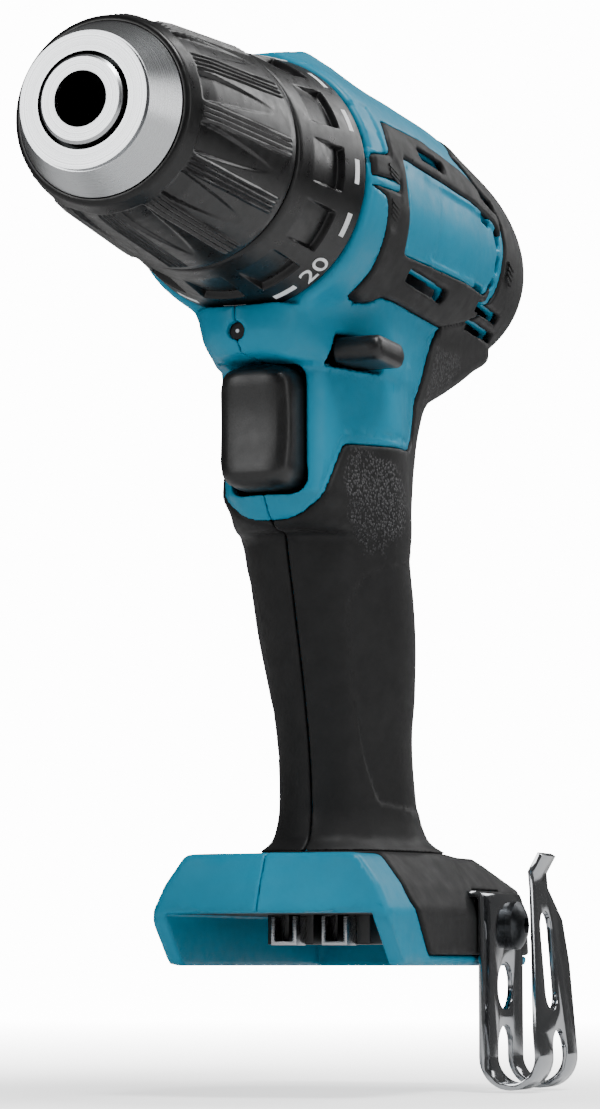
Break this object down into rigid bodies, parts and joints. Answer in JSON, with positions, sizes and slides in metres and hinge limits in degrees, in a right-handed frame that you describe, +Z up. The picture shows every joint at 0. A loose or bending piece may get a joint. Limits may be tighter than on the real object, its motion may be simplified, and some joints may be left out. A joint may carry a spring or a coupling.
{
  "type": "cordless drill",
  "caption": "Compact pistol-grip cordless drill driver with keyless chuck, torque ring, trigger, direction and speed levers, open battery foot and side belt hook.",
  "frame": {"origin": "centre of the chuck's mouth, on the spindle axis", "axes": "+X forward out of the chuck along the spindle, +Y to the drill's left, +Z up, away from the grip"},
  "size_m": [0.1896, 0.0657, 0.2037],
  "materials": {
    "teal_shell": "moulded plastic, light satin",
    "grip_rubber": "soft overmould, fine texture",
    "black_plastic": "moulded plastic, satin",
    "inner_plastic": "moulded plastic, matt",
    "bright_steel": "turned steel, satin",
    "tool_steel": "hardened steel, matt",
    "fastener_steel": "black zinc steel",
    "hook_chrome": "polished plating",
    "die_cast": "as cast",
    "brass": "turned",
    "magnet": "sintered",
    "lamination": "stacked sheet with copper windings",
    "carbon_brass": "carbon blocks in brass holders",
    "lens": "clear",
    "circuit_board": "coated board",
    "lead_insulation": "soft insulation, one red and one black"
  },
  "bodies": {
    "tool": {"housing_left": "teal_shell", "housing_right": "teal_shell", "grip_left": "grip_rubber", "grip_right": "grip_rubber", "housing_screws": "fastener_steel", "led_lens": "lens", "led_board": "circuit_board", "trigger_spring": "bright_steel", "switch_body": "inner_plastic", "ring_retainer": "tool_steel", "retainer_screws": "fastener_steel", "click_spring": "bright_steel", "clutch_spring": "bright_steel", "clutch_washer": "bright_steel", "clutch_pins": "bright_steel", "gear_case": "die_cast", "gear_case_cover": "die_cast", "gear_case_screws": "fastener_steel", "clutch_ring_gear": "tool_steel", "spindle_bearing": "bright_steel", "spindle_bush": "brass", "motor_can": "tool_steel", "motor_magnets": "magnet", "motor_end_cap": "inner_plastic", "motor_brushes": "carbon_brass", "motor_bearings": "bright_steel", "motor_leads": "lead_insulation", "battery_leads": "lead_insulation", "terminal_block": "black_plastic", "terminal_blades": "bright_steel", "belt_hook": "hook_chrome", "hook_fixings": "fastener_steel"},
    "spindle": {"spindle": "bright_steel", "output_carrier": "tool_steel", "chuck_body": "bright_steel", "chuck_collar": "bright_steel", "chuck_screw": "fastener_steel"},
    "sleeve": {"chuck_sleeve": "black_plastic", "chuck_nut": "tool_steel"},
    "jaw_1": {"chuck_jaw_1": "tool_steel"},
    "jaw_2": {"chuck_jaw_2": "tool_steel"},
    "jaw_3": {"chuck_jaw_3": "tool_steel"},
    "output_planet_1": {"output_planet_1": "tool_steel"},
    "output_planet_2": {"output_planet_2": "tool_steel"},
    "output_planet_3": {"output_planet_3": "tool_steel"},
    "input_carrier": {"input_carrier": "tool_steel"},
    "input_planet_1": {"input_planet_1": "tool_steel"},
    "input_planet_2": {"input_planet_2": "tool_steel"},
    "input_planet_3": {"input_planet_3": "tool_steel"},
    "rotor": {"motor_shaft": "bright_steel", "armature": "lamination", "motor_pinion": "brass"},
    "torque_ring": {"torque_ring": "black_plastic"},
    "adjusting_nut": {"adjusting_nut": "inner_plastic"},
    "speed_lever": {"speed_lever": "black_plastic", "shift_wire": "bright_steel", "sliding_ring_gear": "tool_steel"},
    "trigger": {"trigger": "black_plastic", "switch_plunger": "inner_plastic"},
    "direction_lever": {"direction_lever": "black_plastic"}
  },
  "joints": [
    {"name": "spindle_spin", "type": "hinge", "parent": "tool", "child": "spindle", "pos_m": [-0.06, 0, 0], "axis": [1, 0, 0], "continuous": true},
    {"name": "sleeve_turn", "type": "hinge", "parent": "spindle", "child": "sleeve", "pos_m": [-0.03, 0, 0], "axis": [1, 0, 0], "range_deg": [0, 2541]},
    {"name": "jaw_1_slide", "type": "slide", "parent": "spindle", "child": "jaw_1", "axis": [0.9659, 0, -0.2588], "range_m": [0, 0.01835]},
    {"name": "jaw_2_slide", "type": "slide", "parent": "spindle", "child": "jaw_2", "axis": [0.9659, 0.2241, 0.1294], "range_m": [0, 0.01835]},
    {"name": "jaw_3_slide", "type": "slide", "parent": "spindle", "child": "jaw_3", "axis": [0.9659, -0.2241, 0.1294], "range_m": [0, 0.01835]},
    {"name": "output_planet_1_spin", "type": "hinge", "parent": "spindle", "child": "output_planet_1", "pos_m": [-0.083, 0, -0.0108], "axis": [1, 0, 0], "continuous": true},
    {"name": "output_planet_2_spin", "type": "hinge", "parent": "spindle", "child": "output_planet_2", "pos_m": [-0.083, 0.00935, 0.0054], "axis": [1, 0, 0], "continuous": true},
    {"name": "output_planet_3_spin", "type": "hinge", "parent": "spindle", "child": "output_planet_3", "pos_m": [-0.083, -0.00935, 0.0054], "axis": [1, 0, 0], "continuous": true},
    {"name": "input_carrier_spin", "type": "hinge", "parent": "tool", "child": "input_carrier", "pos_m": [-0.088, 0, 0], "axis": [1, 0, 0], "continuous": true},
    {"name": "input_planet_1_spin", "type": "hinge", "parent": "input_carrier", "child": "input_planet_1", "pos_m": [-0.093, 0, -0.0108], "axis": [1, 0, 0], "continuous": true},
    {"name": "input_planet_2_spin", "type": "hinge", "parent": "input_carrier", "child": "input_planet_2", "pos_m": [-0.093, 0.00935, 0.0054], "axis": [1, 0, 0], "continuous": true},
    {"name": "input_planet_3_spin", "type": "hinge", "parent": "input_carrier", "child": "input_planet_3", "pos_m": [-0.093, -0.00935, 0.0054], "axis": [1, 0, 0], "continuous": true},
    {"name": "rotor_spin", "type": "hinge", "parent": "tool", "child": "rotor", "pos_m": [-0.13, 0, 0], "axis": [1, 0, 0], "continuous": true},
    {"name": "torque_ring_turn", "type": "hinge", "parent": "tool", "child": "torque_ring", "pos_m": [-0.06, 0, 0], "axis": [1, 0, 0], "range_deg": [-98, 147]},
    {"name": "adjusting_nut_slide", "type": "slide", "parent": "torque_ring", "child": "adjusting_nut", "axis": [1, 0, 0], "range_m": [-0.0034, 0.0023], "deforming": ["clutch_spring"]},
    {"name": "speed_lever_slide", "type": "slide", "parent": "tool", "child": "speed_lever", "axis": [-1, 0, 0], "range_m": [0, 0.0063]},
    {"name": "trigger_pull", "type": "slide", "parent": "tool", "child": "trigger", "axis": [-1, 0, 0], "range_m": [0, 0.006], "stiffness_N_per_m": 800, "springref_m": -0.004, "deforming": ["trigger_spring"]},
    {"name": "direction_lever_slide", "type": "slide", "parent": "tool", "child": "direction_lever", "axis": [0, 1, 0], "range_m": [-0.008, 0]}
  ],
  "couplings": [
    {"joint": "jaw_1_slide", "follows": "sleeve_turn", "m_per_rad": 0.0004138},
    {"joint": "jaw_2_slide", "follows": "sleeve_turn", "m_per_rad": 0.0004138},
    {"joint": "jaw_3_slide", "follows": "sleeve_turn", "m_per_rad": 0.0004138},
    {"joint": "output_planet_1_spin", "follows": "spindle_spin", "ratio": -2.5},
    {"joint": "output_planet_2_spin", "follows": "spindle_spin", "ratio": -2.5},
    {"joint": "output_planet_3_spin", "follows": "spindle_spin", "ratio": -2.5},
    {"joint": "input_carrier_spin", "follows": "spindle_spin", "ratio": 6},
    {"joint": "input_planet_1_spin", "follows": "spindle_spin", "ratio": -15},
    {"joint": "input_planet_2_spin", "follows": "spindle_spin", "ratio": -15},
    {"joint": "input_planet_3_spin", "follows": "spindle_spin", "ratio": -15},
    {"joint": "rotor_spin", "follows": "spindle_spin", "ratio": 36},
    {"joint": "adjusting_nut_slide", "follows": "torque_ring_turn", "m_per_rad": -0.0012732}
  ]
}
